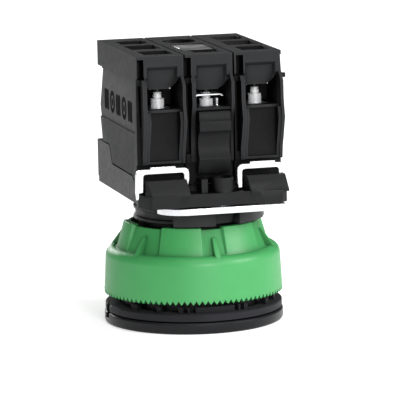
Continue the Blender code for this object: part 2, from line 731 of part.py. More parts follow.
def chamber_cutters(name, x, drop=0.0):
    """The two terminal chambers, their screw shafts and strip slots, open to the front and the back."""
    middle = x + CENTRE_X
    left = x + CHAMBER_LEFT
    right = x + CHAMBER_RIGHT
    top = CHAMBER_TOP - drop
    tongue = [(left, CHAMBER_LOW), (right, CHAMBER_LOW), (right, top + 2.0), (right - 0.45, top + 1.7)]
    tongue += [(right - 1.1, top + 0.8), (right - 2.3, top), (left + 1.0, top), (left + 0.3, top + 0.6)]
    tongue += [(left + 0.3, top + 1.7), (left, top + 1.9)]
    made = [plate(name + ".front_chamber", "Y", tongue, -19.0, -7.6)]
    made.append(boxes(name + ".back_chamber", ((left, 6.9, CHAMBER_LOW), (right, 20.0, top))))
    made.append(scoop_cutter(name, x))
    for place, y in SCREW_YS.items():
        made.append(cylinder(f"{name}.{place}_shaft", (middle, y), 2.4, top - 0.2, 58.0))
        made.append(cylinder(f"{name}.{place}_well", (middle, y), 1.85, WELL_LOW, 46.6, 16))
    slot = boxes(
        name + ".strip_slots",
        ((middle - 2.3, -13.9, STRIP_LOW - GAP), (middle + 2.3, -6.0, CHAMBER_LOW + 0.1)),
        ((middle - 2.3, 6.0, STRIP_LOW - GAP), (middle + 2.3, 13.1, CHAMBER_LOW + 0.1)),
    )
    return made + [slot]


def corner_slots(name, x, low, high):
    """Two narrow deep slots, one over the other, beside the front face's left edge."""
    upper = boxes(name + ".upper_slot", ((x + low, -17.0, 52.1), (x + high, -12.6, 56.2)))
    if x < 0:
        outline = [(x + low, 50.9), (x + RIB_A, 50.9), (x + RIB_A, 42.5), (x + RIB_A - 0.2, 42.5)]
    else:
        outline = [(x + low, 50.9), (x + RIB_A, 50.9), (x + RIB_A, 36.6), (x + low, 36.6)]
    return upper, plate(name + ".lower_slot", "Y", outline, -17.0, -13.9)


def join_shelf(obj, name, x):
    """The shelf under each chamber, standing out of the front and the back."""
    left = x + CHAMBER_LEFT - 0.1
    right = x + CHAMBER_RIGHT + 0.1
    shelf = boxes(
        name + ".shelf",
        ((left, -16.4, 45.5), (right, -14.2, CHAMBER_LOW + 0.15)),
        ((left, 13.2, 45.5), (right, 15.0, CHAMBER_LOW + 0.15)),
    )
    return join(obj, shelf)


def cavity_cutter(name, x):
    """The room for the mechanism, open to the right, where the side cover closes it."""
    low = (x + CAVITY_LEFT, -CAVITY_HALF_Y, CAVITY_LOW)
    return boxes(name + ".cavity", (low, (x + BLOCK_HALF + 1.0, CAVITY_HALF_Y, CAVITY_TOP)))


def collar_rebates(name, x):
    """Where the collar's side and back walls pass outside the block, with the gap above them."""
    wall = COLLAR_HALF_X - COLLAR_WALL - GAP
    outline = [(-13.0, 30.0), (-13.0, 31.3), (-10.5, 32.4), (6.3, 32.4), (8.8, 36.1)]
    outline += [(21.0, 36.1), (21.0, 30.0)]
    made = []
    for side in (-1, 1):
        if side * x < 0:
            continue
        ends = sorted((side * wall, side * (COLLAR_HALF_X + 1.0)))
        made.append(plate(f"{name}.rebate_{side}", "X", outline, *ends))
    return made


def top_openings(name, x):
    middle = x + CENTRE_X
    return [
        boxes(name + ".back_window", ((middle - 2.9, 6.8, 53.0), (middle + 2.6, 12.6, 58.0))),
        boxes(name + ".window_notch", ((middle + 1.0, 8.6, 53.4), (middle + 3.3, 10.8, 58.0))),
        boxes(name + ".long_slot", ((middle - 3.2, -3.0, 55.3), (middle + 3.2, 4.2, 58.0))),
        boxes(name + ".front_slot", ((middle - 3.0, -12.6, 53.0), (middle + 3.0, -6.4, 58.0))),
    ]


def join_ribs(housing, name, x, rib):
    """The front's two ribs, thicker below the chamber, and the back's."""
    join(housing, rib(name + ".front_rib_a", x, RIB_A, CHAMBER_LEFT - SKIN))
    join(housing, rib(name + ".front_rib_b", x, CHAMBER_RIGHT + SKIN, BLOCK_HALF - SKIN))
    join(housing, back_rib(name + ".back_rib_a", x, SKIN - BLOCK_HALF, CHAMBER_LEFT - SKIN))
    join(housing, back_rib(name + ".back_rib_b", x, CHAMBER_RIGHT + SKIN, BLOCK_HALF - SKIN))


def make_contact_housing(name, x, side):
    housing = block_core(name, x)
    join_ribs(housing, name, x, front_rib)
    cheek = [(-14.0, 45.6), (-17.2, 45.6), (-17.9, 43.5), (-16.9, 39.9), (-16.0, 37.3)]
    cheek += [(-15.7, RIB_LOW + 0.1), (-14.0, RIB_LOW + 0.1)]
    join(housing, plate(name + ".cheek_a", "X", cheek, x + CHAMBER_LEFT - 0.1, x - 2.5))
    join(housing, plate(name + ".cheek_b", "X", cheek, x + 3.6, x + CHAMBER_RIGHT + 0.1))
    join_shelf(housing, name, x)
    sill = ((x + CHAMBER_LEFT - 0.1, -15.8, RIB_LOW + 0.1), (x + CHAMBER_RIGHT + 0.1, -14.6, 35.5))
    join(housing, boxes(name + ".sill", sill))
    if side > 0:
        join(housing, boxes(name + ".nub", ((x + 4.6, -15.2, 51.2), (x + 5.9, -14.2, 52.1))))
        taper = [(x + 4.7, 55.9), (x + 4.88, 52.4), (x + 5.3, 52.4), (x + 5.3, 55.9)]
        cut(housing, plate(name + ".taper", "Y", taper, -17.0, -12.0))
    low, high = (-4.65, -3.3) if side < 0 else (-4.55, -3.0)
    cut(housing, *corner_slots(name, x, low, high))
    if side < 0:
        low, high = block_box(x, (-6.0, -13.7, 41.0), (-BLOCK_HALF + LABEL_DEPTH, 18.0, 51.4))
        cut(housing, boxes(name + ".label", (low, high)))
    cut(housing, *chamber_cutters(name, x), cavity_cutter(name, x), *top_openings(name, x))
    clamp_rooms = boxes(
        name + ".clamp_rooms",
        ((x + CHAMBER_LEFT, -13.0, 49.0), (x + CHAMBER_RIGHT, -7.6, CLAMP_ROOM_TOP)),
        ((x + CHAMBER_LEFT, 6.9, 49.0), (x + CHAMBER_RIGHT, 12.0, CLAMP_ROOM_TOP)),
    )
    cut(housing, clamp_rooms, *collar_rebates(name, x))
    cut(housing, cylinder(name + ".actuator_room", (0, 0), 9.7, 29.0, 34.1, 48))
    middle = x + CENTRE_X
    foot = sorted((middle + side * 1.8, side * 6.3))
    room = boxes(name + ".foot_room", ((foot[0], -2.5, 29.0), (foot[1], 2.5, 35.8)))
    stem = boxes(name + ".stem_room", ((middle - 1.8, -2.5, 35.0), (middle + 1.8, 2.5, 37.0)))
    cut(housing, room, stem)
    return finish(housing, material(name + "_plastic", GREY_BLACK, 0.45))


def make_side_cover(name, x):
    low = x + COVER_LEFT
    outline = [(-5.9, 36.3), (5.9, 36.3), (5.9, 50.3), (-5.9, 50.3)]
    cover = plate(name, "X", outline, low, x + BLOCK_HALF - 0.05)
    groove = boxes(name + ".groove", ((low + 0.6, -4.6, 41.0), (low + 3.0, 4.6, 49.0)))
    return finish(cut(cover, groove), material(name + "_plastic", GREY_BLACK, 0.5))


def make_terminal(name, x, place, drop):
    """A contact strip under its screw. With a drop it turns down inside, to a contact under the bridge."""
    middle = x + CENTRE_X
    sign = -1 if place == "front" else 1
    outer = sign * (13.6 if place == "front" else 12.8)
    inner = sign * (5.7 if drop else 3.9)
    strip = boxes(name, span((middle - 2.0, outer, STRIP_LOW), (middle + 2.0, inner, STRIP_TOP)))
    if drop:
        leg = boxes(name + ".leg", span((middle - 1.9, sign * 5.6, 38.4), (middle + 1.9, sign * 6.0, 45.8)))
        toe = boxes(name + ".toe", span((middle - 1.8, sign * 5.9, 38.5), (middle + 1.8, sign * 3.7, 39.1)))
        rivet = cylinder(name + ".rivet", (middle, sign * 4.7), 0.9, 39.0, 40.1, 12)
        join(strip, leg, toe, rivet)
    else:
        join(strip, cylinder(name + ".rivet", (middle, sign * 4.7), 1.0, 43.8, 45.4, 12))
    if name == "light_front_terminal":
        join(strip, boxes(name + ".tab", ((middle + 1.72, -12.2, 45.3), (middle + 2.05, -9.4, 47.3))))
    cut(strip, cylinder(name + ".hole", (middle, SCREW_YS[place]), 1.6, 44.0, 47.0, 16))
    return finish(strip, material(name + "_zinc", ZINC, 0.35, 1.0))


def span(a, b):
    return tuple(min(p) for p in zip(a, b)), tuple(max(p) for p in zip(a, b))


def make_screw(name, x, place, clamp_low, drop=0.0):
    """A captive screw, backed out: slotted head up in its shaft, collared neck, thread in the strip."""
    middle, y = x + CENTRE_X, SCREW_YS[place]
    head_low = clamp_low + 1.1 + drop
    head_top = head_low + HEAD_HEIGHT
    upper = [(0.88, 48.95), (0.88, 48.7), (0.7, 48.7), (0.7, 48.5), (0.88, 48.5), (0.88, 47.85)]
    upper += [(0.72, 47.85), (0.72, 47.65), (1.38, 47.65)]
    profile = [(0.0, head_top), (2.1, head_top), (2.1, head_low), (0.55, head_low), (0.55, 48.95 - drop)]
    profile += [(r, z - drop) for r, z in upper] + [(1.38, 43.9), (0.0, 43.9)]
    screw = turned(name, profile, (middle, y), 20)
    low = head_top - 0.6
    slot = boxes(name + ".slot", ((middle - 3.0, y - 0.3, low), (middle + 3.0, y + 0.3, 54.0)))
    cross = boxes(name + ".cross", ((middle - 0.3, y - 1.4, low), (middle + 0.3, y + 1.4, 54.0)))
    return finish(cut(screw, slot, cross), material(name + "_zinc", ZINC, 0.25, 1.0))


def make_wire_clamp(name, x, place, low, reach):
    """A thin saddle washer on the screw, its ends turned down over the wire."""
    middle = x + CENTRE_X
    y = SCREW_YS[place]
    right = [(reach - 0.85, 0.62), (reach - 0.4, 0.5), (reach, 0.0), (reach - 0.4, 0.0), (reach - 0.8, 0.3)]
    left = [(-a, b) for a, b in reversed(right)]
    outline = [(middle + a, low + b) for a, b in right + left]
    clamp = plate(name, "Y", outline, y - 2.15, y + 2.2)
    hole = cylinder(name + ".hole", (middle, y), 1.3, low - 1.0, low + 1.0, 16)
    return finish(cut(clamp, hole), material(name + "_zinc", ZINC, 0.3, 1.0))


def make_contact_plunger(name, x, side):
    """The stem carries the bridge in a window; its foot reaches in over the actuator plate."""
    middle = x + CENTRE_X
    stem = boxes(name, ((middle - 1.5, -2.2, BLOCK_LOW), (middle + 1.5, 2.2, STEM_TOP)))
    foot = sorted((middle + side * 1.45, side * 6.6))
    join(stem, boxes(name + ".foot", ((foot[0], -2.1, BLOCK_LOW), (foot[1], 2.1, 32.0))))
    window = boxes(name + ".window", ((middle - 1.0, -3.0, WINDOW_LOW), (middle + 1.0, 3.0, WINDOW_TOP)))
    on_axis(stem, middle, 0.0)
    return finish(cut(stem, window), material(name + "_plastic", IVORY, 0.5))


def make_bridge(name, x):
    middle = x + CENTRE_X
    bar = boxes(name, ((middle - 0.7, -5.3, BRIDGE_LOW), (middle + 0.7, 5.3, BRIDGE_TOP)))
    return finish(on_axis(bar, middle, 0.0), material(name + "_brass", BRASS, 0.3, 1.0))


def make_plunger_spring(name, x):
    middle = x + CENTRE_X
    spring = coil(name, (middle, 0.0), 1.25, 0.4, STEM_TOP + GAP, CAVITY_TOP - GAP, 5, 8)
    spring.data.materials.append(material(name + "_steel", STEEL, 0.3, 1.0))
    return on_axis(spring, middle, 0.0)


def make_contact_block(name, x, normally_closed):
    side = -1 if x < 0 else 1
    make_contact_housing(f"{name}_housing", x, side)
    make_side_cover(f"{name}_side_cover", x)
    make_contact_plunger(f"{name}_plunger", x, side)
    make_bridge(f"{name}_bridge", x)
    make_plunger_spring(f"{name}_plunger_spring", x)
    for place in SCREW_YS:
        make_terminal(f"{name}_{place}_terminal", x, place, normally_closed)
        make_screw(f"{name}_{place}_screw", x, place, CLAMP_LOW)
        make_wire_clamp(f"{name}_{place}_clamp", x, place, CLAMP_LOW, CLAMP_REACH)


# ---------------------------------------------------------------- light module


def make_light_housing():
    name = "light_housing"
    housing = block_core(name, 0.0)
    join_ribs(housing, name, 0.0, centre_rib)
    join_shelf(housing, name, 0.0)
    cut(housing, *corner_slots(name, 0.0, -5.0, -3.7))
    cut(housing, *chamber_cutters(name, 0.0, LIGHT_DROP), cavity_cutter(name, 0.0))
    cut(
        housing,
        cylinder(name + ".round_hole", (0.2, 8.4), 3.5, 53.0, 58.0, 32),
        boxes(name + ".window_seat", ((-3.3, -8.0, 55.7), (3.7, 2.8, 58.0))),
        boxes(name + ".front_slot", ((-2.2, -12.6, 53.0), (3.4, -8.4, 58.0))),
        cylinder(name + ".actuator_room", (0, 0), 9.7, 29.0, 34.1, 48),
        cylinder(name + ".led_socket", (0, 0), 4.5, 33.0, 37.0, 32),
    )
    return finish(housing, material("light_housing_plastic", GREY_BLACK, 0.45))


def make_label_window():
    outline = [(-3.0, -7.7), (3.4, -7.7), (3.4, 2.5), (-3.0, 2.5)]
    window = plate("label_window", "Z", outline, 56.0, 56.7)
    return finish(bevel(window, 0.15), material("label_grey", (0.32, 0.32, 0.32), 0.35))


def make_circuit_board():
    board = boxes("circuit_board", ((2.2, -3.5, 36.6), (3.2, 3.5, 49.8)))
    chips = boxes(
        "circuit_board.chips",
        ((0.6, -2.4, 40.0), (2.4, 0.6, 43.0)),
        ((0.9, -1.6, 45.5), (2.4, 1.6, 47.5)),
    )
    return finish(join(board, chips), material("board_green", (0.03, 0.2, 0.08), 0.4))


def make_led_holder():
    profile = [(4.2, 35.6), (4.2, 13.2), (3.9, 12.9), (2.9, 12.9), (2.9, 35.6)]
    holder = turned("led_holder", profile, steps=HIDDEN_STEPS)
    return finish(holder, material("led_holder_plastic", IVORY, 0.5))


def make_led_lens():
    angles = [math.radians(a) for a in (0, 20, 40, 60, 78)]
    dome = [(2.6 * math.cos(a), 11.6 - 2.0 * math.sin(a)) for a in angles]
    profile = [(0.0, 16.0), (2.6, 16.0)] + dome + [(0.0, 9.6)]
    lens = turned("led_lens", profile, steps=20)
    return finish(lens, material("led_green", (0.2, 0.7, 0.3), 0.15, alpha=0.85))


def make_release_latch():
    outline = [(-15.55, 45.3), (-17.2, 45.3), (-17.5, 44.9), (-17.5, 43.6), (-17.9, 43.4), (-17.9, 41.4)]
    outline += arc((-20.6, 38.4), 4.3, 36, -32, 6)
    outline += [(-17.3, 35.7), (-16.9, 34.9), (-15.9, 32.5), (-14.8, 32.5), (-14.8, 34.3)]
    outline += [(-15.3, 34.4), (-15.55, 34.8)]
    latch = plate("release_latch", "X", outline, -2.75, 3.85)
    on_axis(latch, 0.0, *LATCH_PIVOT)
    return finish(latch, material("latch_plastic", GREY_BLACK, 0.42))


def make_light_module():
    make_light_housing()
    make_side_cover("light_side_cover", 0.0)
    make_label_window()
    make_circuit_board()
    make_led_holder()
    make_led_lens()
    make_release_latch()
    for place in SCREW_YS:
        make_terminal(f"light_{place}_terminal", 0.0, place, False)
        make_screw(f"light_{place}_screw", 0.0, place, LIGHT_CLAMP_LOW, LIGHT_DROP)
        make_wire_clamp(f"light_{place}_clamp", 0.0, place, LIGHT_CLAMP_LOW, LIGHT_CLAMP_REACH)


# ---------------------------------------------------------------- the whole button


def main():
    for obj in list(bpy.data.objects):
        bpy.data.objects.remove(obj)
    bpy.context.scene.collection.children.link(parts)
    bpy.context.scene.collection.children.link(cutters)
    make_bezel()
    make_operator_body()
    make_panel_gasket()
    make_lens_cap()
    make_diffuser()
    make_pusher()
    make_lip_seal()
    make_return_spring()
    make_retaining_ring()
    make_actuator_plate()
    make_tightening_nut()
    make_locking_ring()
    make_clamp_plate()
    make_collar()
    make_collar_screw()
    make_clips()
    make_contact_block("left_block", -BLOCK_PITCH, False)
    make_contact_block("right_block", BLOCK_PITCH, True)
    make_light_module()


main()
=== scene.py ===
"""Looks of a flush industrial push button that stands on its bezel: meshes, materials, light and camera."""
import json
import math

import bmesh
import bpy
from mathutils import Matrix, Vector


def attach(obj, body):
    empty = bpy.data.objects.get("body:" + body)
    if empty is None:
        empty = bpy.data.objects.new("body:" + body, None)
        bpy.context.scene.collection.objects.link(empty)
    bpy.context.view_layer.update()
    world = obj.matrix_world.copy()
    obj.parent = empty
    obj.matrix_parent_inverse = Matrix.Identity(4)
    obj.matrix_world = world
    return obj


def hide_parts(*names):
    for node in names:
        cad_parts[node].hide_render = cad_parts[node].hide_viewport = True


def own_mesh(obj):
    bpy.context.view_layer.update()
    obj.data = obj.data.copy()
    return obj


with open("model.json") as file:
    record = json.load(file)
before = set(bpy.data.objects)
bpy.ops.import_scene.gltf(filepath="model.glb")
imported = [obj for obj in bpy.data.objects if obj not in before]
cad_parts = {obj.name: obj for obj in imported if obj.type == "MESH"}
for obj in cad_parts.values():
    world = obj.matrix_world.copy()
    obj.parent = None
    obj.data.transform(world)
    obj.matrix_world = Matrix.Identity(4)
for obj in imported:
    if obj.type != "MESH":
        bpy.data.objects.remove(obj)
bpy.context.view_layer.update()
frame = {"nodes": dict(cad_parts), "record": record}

MM = 0.001
NODES = frame["nodes"]
BODY_OF = {node: body for body, nodes in frame["record"]["behaviour"]["bodies"].items() for node in nodes}
SLOT_OF = {part["node"]: part["material_slot"] for part in frame["record"]["subparts"]}
BLOCKS = ("left_block", "light", "right_block")
ENDS = ("front", "back")

# Sizes shared with the CAD, in millimetres and degrees
NUT_LOW = 6.05
NUT_TOP = 21.1
NUT_R = 18.45
NUT_TEETH = 96
TOOTH_HEIGHT = 0.8
SKIRT_BORE_R = 16.6
SKIRT_FLOOR_R = 15.35
HUB_BOTTOM = 13.2
HUB_LOW = 15.6
HUB_LOW_R = 15.7
HUB_TOP_R = 14.1
HUB_BORE_R = 12.75
LOBES = 6
RECESS_TURN = 1.9
NARROW_RECESS = 9.2
WIDE_RECESS = 16.5
RECESS_DEPTH = 0.7
RECESS_DROP = 0.45
RECESS_MARGIN = 0.7
RECESS_WALL = 1.6
TOOTH_HALF = 0.46
CORNER = 0.16
FIN_TURN = 2.7
FIN_LOW = 14.4
FIN_TOP = 19.1
FIN_HALF = 0.62
FIN_TAPER = 0.12
FIN_EDGE = 0.14
PLUNGER_XS = {"left": -9.55, "right": 10.85}
# Face and top of the blocks' sunken front panels, where painted shade darkens the plastic
PANEL_Y = -15.2
PANEL_TOP = 45.5
LABEL_X = -14.8

# Springs: radius of the coil, wire, bottom and top
COIL_TURNS = 5
RETURN_SPRING = (8.75, 0.7, 7.6, 19.5)
PLUNGER_SPRING = (1.25, 0.4, 42.9, 50.3)

# The marks on the left side's label: width and height, and where the row starts
BAR = (1.08, 4.3)
BAR_PITCH = 1.25
BAR_POWER = 0.3
HOOP = (4.1, 4.7)
HOOP_LINE = 0.95
DOT = (1.3, 1.6)
MARKS = 5
MARK_PITCH = 5.0
MARK_Y = 11.3
MARK_Z = 45.2
MARK_FALL = 0.05
MARK_RELIEF = 0.02

# Rounding of the CAD's own edges, in millimetres and degrees
WELD = 0.002
FLAT = 1.0
SHARP = 38.0
EDGE_STEPS = 2
SHELL_EDGE = 0.13
STRIP_EDGE = 0.14
RING_EDGE = 0.08
SMALL_EDGE = 0.06
SCREW_EDGE = 0.1

# Camera, in metres and degrees
DISTANCE = 0.695
AZIMUTH = 14.8
ELEVATION = 11.25
ROLL = 1.15
AIM = (0.00166, -0.00044, 0.02465)
LENS = 301.0
SENSOR = 36.0

# Lamps: azimuth from the front towards +X and elevation in degrees, distance and size in metres, power
LAMPS = {
    "key": (58.0, 26.0, 1.6, 0.6, 17.0),
    "front": (4.0, 18.0, 1.6, 0.4, 12.0),
    "top": (20.0, 78.0, 2.2, 2.2, 30.0),
    "rim": (188.0, 17.0, 1.6, 0.5, 7.0),
}
AIR = 0.18
FLOOR_SIZE = 6.0
FLOOR_GLOW = 0.5

# Linear colours
CHARCOAL = (0.017, 0.0176, 0.0188)
BLACK = (0.008, 0.0082, 0.009)
BEZEL_BLACK = (0.007, 0.0073, 0.009)
RUBBER = (0.011, 0.011, 0.014)
INK = (0.001, 0.001, 0.0012)
GREEN = (0.048, 0.315, 0.088)
ZINC = (0.80, 0.81, 0.83)
STEEL = (0.55, 0.55, 0.57)
BRASS = (0.62, 0.42, 0.16)
IVORY = (0.62, 0.60, 0.54)
WHITE = (0.75, 0.76, 0.74)


# ---------------------------------------------------------------- materials


class Shader:
    """A Principled material whose colour, roughness and bump come from a few noise layers."""

    def __init__(self, name):
        self.material = bpy.data.materials.new(name)
        self.material.use_nodes = True
        self.tree = self.material.node_tree
        self.surface = self.tree.nodes["Principled BSDF"]
        self.place = self.add("TexCoord").outputs["Object"]

    def add(self, kind, **settings):
        node = self.tree.nodes.new("ShaderNode" + kind)
        for key, value in settings.items():
            setattr(node, key, value)
        return node

    def link(self, source, target):
        self.tree.links.new(source, target)

    def feed(self, socket, source):
        self.link(source, self.surface.inputs[socket])

    def set(self, **values):
        for key, value in values.items():
            self.surface.inputs[key.replace("_", " ")].default_value = value

    def stretched(self, scale):
        """Object coordinates, scaled along each axis."""
        node = self.add("Mapping")
        node.inputs["Scale"].default_value = scale
        self.link(self.place, node.inputs["Vector"])
        return node.outputs["Vector"]

    def along(self, axis):
        """The object coordinate along an axis, in metres."""
        node = self.add("SeparateXYZ")
        self.link(self.place, node.inputs[0])
        return node.outputs[axis]

    def noise(self, per_metre, detail=3.0, place=None):
        node = self.add("TexNoise")
        node.inputs["Scale"].default_value = per_metre
        node.inputs["Detail"].default_value = detail
        self.link(place or self.place, node.inputs["Vector"])
        return node.outputs["Fac"]

    def spread(self, value, low, high, start=0.3, end=0.7):
        """A value from start to end, mapped on to low to high."""
        node = self.add("MapRange")
        node.inputs["From Min"].default_value = start
        node.inputs["From Max"].default_value = end
        node.inputs["To Min"].default_value = low
        node.inputs["To Max"].default_value = high
        self.link(value, node.inputs["Value"])
        return node.outputs["Result"]

    def mix(self, share, first, second):
        """A colour from first to second, each a colour or another node's output."""
        node = self.add("Mix", data_type="RGBA")
        self.link(share, node.inputs["Factor"])
        for name, colour in (("A", first), ("B", second)):
            socket = [s for s in node.inputs if s.name == name and s.type == "RGBA"][0]
            if isinstance(colour, tuple):
                socket.default_value = (*colour, 1.0)
            else:
                self.link(colour, socket)
        return [s for s in node.outputs if s.type == "RGBA"][0]

    def product(self, first, second):
        node = self.add("Math", operation="MULTIPLY")
        self.link(first, node.inputs[0])
        self.link(second, node.inputs[1])
        return node.outputs[0]

    def between(self, value, low, high, blur):
        """1 where the value lies between low and high, fading to 0 over the blur just outside."""
        above = self.spread(value, 0.0, 1.0, low - blur, low)
        below = self.spread(value, 1.0, 0.0, high, high + blur)
        return self.product(above, below)

    def edges(self, radius):
        """1 on an edge and 0 on a flat face, from how far a rounded normal turns away from the true one."""
        soft = self.add("Bevel", samples=6)
        soft.inputs["Radius"].default_value = radius
        true = self.add("NewGeometry")
        dot = self.add("VectorMath", operation="DOT_PRODUCT")
        self.link(soft.outputs["Normal"], dot.inputs[0])
        self.link(true.outputs["Normal"], dot.inputs[1])
        return self.spread(dot.outputs["Value"], 1.0, 0.0, 0.75, 0.98)

    def unshaded_share(self, reach):
        """Ambient occlusion as a mask for painted shade: 0 deep in a recess and 1 on an open face, from how
        far walls within reach close it in.
        """
        node = self.add("AmbientOcclusion", samples=12)
        node.inputs["Distance"].default_value = reach
        return self.spread(node.outputs["AO"], 0.0, 1.0, 0.5, 0.95)

    def bump(self, height, distance, strength=1.0):
        node = self.add("Bump")
        node.inputs["Distance"].default_value = distance
        node.inputs["Strength"].default_value = strength
        self.link(height, node.inputs["Height"])
        self.feed("Normal", node.outputs["Normal"])


def shade(colour, factor):
    return tuple(min(1.0, c * factor) for c in colour)


def moulded(
    name, colour, roughness, grain=0.00002, edge_wear_and_highlight=1.6, mottle=0.06, specular=0.5, hollow_shade=0.6, reach=0.004
):
    """Moulded plastic: spark-eroded grain, faint flow clouds, painted shade in recesses, and paler edges
    that are partly scuffing and partly a painted highlight.
    """
    shader = Shader(name)
    clouds = shader.spread(shader.noise(130.0), 0.0, 1.0)
    body = shader.mix(clouds, shade(colour, 1.0 - mottle), shade(colour, 1.0 + mottle))
    scuffs = shader.noise(900.0, 5.0)
    # Edges made paler where the scuff noise allows: partly scuffing, partly a painted highlight on the
    # rounded edges.
    scuffed_and_lit_edges = shader.product(shader.edges(0.00025), shader.spread(scuffs, 0.25, 1.0))
    scuffed_and_lit = shader.mix(scuffed_and_lit_edges, body, shade(colour, edge_wear_and_highlight))
    # Painted shade: ambient occlusion darkens the colour in recesses and gaps.
    shader.feed("Base Color", shader.mix(shader.unshaded_share(reach), shade(colour, hollow_shade), scuffed_and_lit))
    shader.feed("Roughness", shader.spread(scuffs, roughness - 0.03, roughness + 0.05))
    shader.bump(shader.noise(5200.0, 2.0), grain, 0.5)
    shader.set(Specular_IOR_Level=specular)
    return shader


def plated(name, colour, roughness):
    """Plated metal: faint rolling lines, cloudy passivation and brighter edges."""
    shader = Shader(name)
    clouds = shader.spread(shader.noise(400.0), 0.0, 1.0)
    body = shader.mix(clouds, shade(colour, 0.9), shade(colour, 1.05))
    lines = shader.noise(1.0, 2.0, shader.stretched((300.0, 6000.0, 6000.0)))
    shader.feed("Base Color", shader.mix(shader.edges(0.0002), body, shade(colour, 1.2)))
    shader.feed("Roughness", shader.spread(lines, roughness - 0.07, roughness + 0.1))
    shader.bump(lines, 0.000004, 0.6)
    shader.set(Metallic=1.0)
    return shader.material


def clear(name, colour, roughness):
    """Clear coloured plastic, its tint a little uneven."""
    shader = Shader(name)
    clouds = shader.spread(shader.noise(300.0), 0.0, 1.0)
    shader.feed("Base Color", shader.mix(clouds, shade(colour, 0.92), shade(colour, 1.08)))
    shader.feed("Roughness", shader.spread(shader.noise(1500.0, 4.0), roughness, roughness + 0.08))
    shader.bump(shader.noise(2500.0), 0.000004, 0.4)
    shader.set(Transmission_Weight=0.75, IOR=1.49)
    return shader.material


def bright_screw(name, shade_low, shade_top):
    """Dull zinc, which spreads the light over the whole barrel, with painted shade that colours the neck
    under the head near black.
    """
    shader = Shader(name)
    shaded_shank = shader.between(shader.along("Z"), shade_low, shade_top, 0.0001)
    clouds = shader.spread(shader.noise(700.0), 0.0, 1.0)
    bright = shader.mix(clouds, (0.92, 0.93, 0.95), (1.0, 1.0, 1.0))
    # Painted shade: the neck under the head is coloured near black.
    shader.feed("Base Color", shader.mix(shaded_shank, bright, (0.02, 0.02, 0.02)))
    shader.feed("Roughness", shader.spread(shader.noise(3000.0), 0.25, 0.4))
    shader.bump(shader.noise(2500.0), 0.000006, 0.5)
    shader.set(Metallic=0.1)
    return shader.material


def block_plastic():
    """The blocks' plastic, with painted shade that makes the sunken front panels darker."""
    # Strong painted shade in recesses and between the blocks, and edges much paler, partly scuffing and
    # partly a painted highlight.
    shader = moulded(
        "block_plastic", CHARCOAL, 0.58, edge_wear_and_highlight=3.4, mottle=0.04, specular=0.16, hollow_shade=0.06, reach=0.008
    )
    # Painted shade: the sunken front panels below the panel top are coloured much darker.
    shaded_panel_face = shader.between(shader.along("Y"), (PANEL_Y - 0.05) * MM, (PANEL_Y + 0.05) * MM, 0.1 * MM)
    below = shader.spread(shader.along("Z"), 1.0, 0.0, (PANEL_TOP - 0.3) * MM, (PANEL_TOP + 0.3) * MM)
    plain = shader.surface.inputs["Base Color"].links[0].from_socket
    shader.feed("Base Color", shader.mix(shader.product(shaded_panel_face, below), plain, shade(CHARCOAL, 0.12)))
    return shader.material


def latch_plastic():
    # Painted shade: a darker copy of the blocks' plastic for the latch's downward-tilted face.
    dark = shade(CHARCOAL, 0.5)
    return moulded("latch_plastic", dark, 0.5, edge_wear_and_highlight=2.2, specular=0.14, hollow_shade=0.1).material


def collar_plastic():
    dark = shade(CHARCOAL, 0.5)
    return moulded("collar_plastic", dark, 0.46, edge_wear_and_highlight=2.0, specular=0.17, hollow_shade=0.1).material


def ring_plastic():
    return moulded("ring_plastic", shade(CHARCOAL, 0.75), 0.4, specular=0.25, hollow_shade=0.15).material


def operator_plastic():
    return moulded("operator_plastic", BLACK, 0.4, specular=0.2, hollow_shade=0.2).material


def green_plastic():
    """The nut's plastic, which lets a little light into itself."""
    shader = moulded("green_plastic", GREEN, 0.42, grain=0.000015, edge_wear_and_highlight=1.18, mottle=0.04)
    shader.set(Subsurface_Weight=0.12, Subsurface_Scale=0.002, Subsurface_Radius=(0.4, 1.0, 0.5))
    return shader.material


def ivory_plastic():
    return moulded("ivory_plastic", IVORY, 0.5, edge_wear_and_highlight=1.1, mottle=0.05).material


def diffuser_white():
    """Milky plastic that spreads the lamp's light."""
    shader = moulded("diffuser_white", WHITE, 0.45, edge_wear_and_highlight=1.05, mottle=0.03)
    shader.set(Subsurface_Weight=0.3, Subsurface_Scale=0.003)
    return shader.material


def bezel_metal():
    """Satin black coating over metal, its edges a little paler, partly scuffing and partly a painted
    highlight.
    """
    shader = moulded("bezel_metal", BEZEL_BLACK, 0.36, grain=0.000012, edge_wear_and_highlight=2.2, specular=0.2)
    shader.set(Coat_Weight=0.04, Coat_Roughness=0.3)
    return shader.material


def gasket_rubber():
    """Dull rubber with dust in its grain."""
    shader = moulded("gasket_rubber", RUBBER, 0.6, grain=0.00003, mottle=0.2, specular=0.2)
    shader.set(Sheen_Weight=0.03)
    return shader.material


def label_ink():
    """Flat black ink of the plain marks on the left side."""
    return moulded("label_ink", INK, 0.7, edge_wear_and_highlight=1.1, mottle=0.2, specular=0.02).material


def green_lens():
    return clear("green_lens", (0.10, 0.72, 0.24), 0.08)


def led_green():
    return clear("led_green", (0.30, 0.85, 0.40), 0.05)


def label_grey():
    """A clear window over a pale slip, which shows through as soft grey clouds."""
    shader = Shader("label_grey")
    streaks = shader.noise(1.0, 2.0, shader.stretched((180.0, 700.0, 700.0)))
    share = shader.spread(streaks, 0.0, 1.0, 0.42, 0.65)
    shader.feed("Base Color", shader.mix(share, (0.03, 0.03, 0.031), (0.33, 0.33, 0.33)))
    shader.feed("Roughness", shader.spread(streaks, 0.16, 0.28))
    shader.bump(shader.noise(900.0), 0.000008, 0.4)
    shader.set(Coat_Weight=0.6, Coat_Roughness=0.08)
    return shader.material


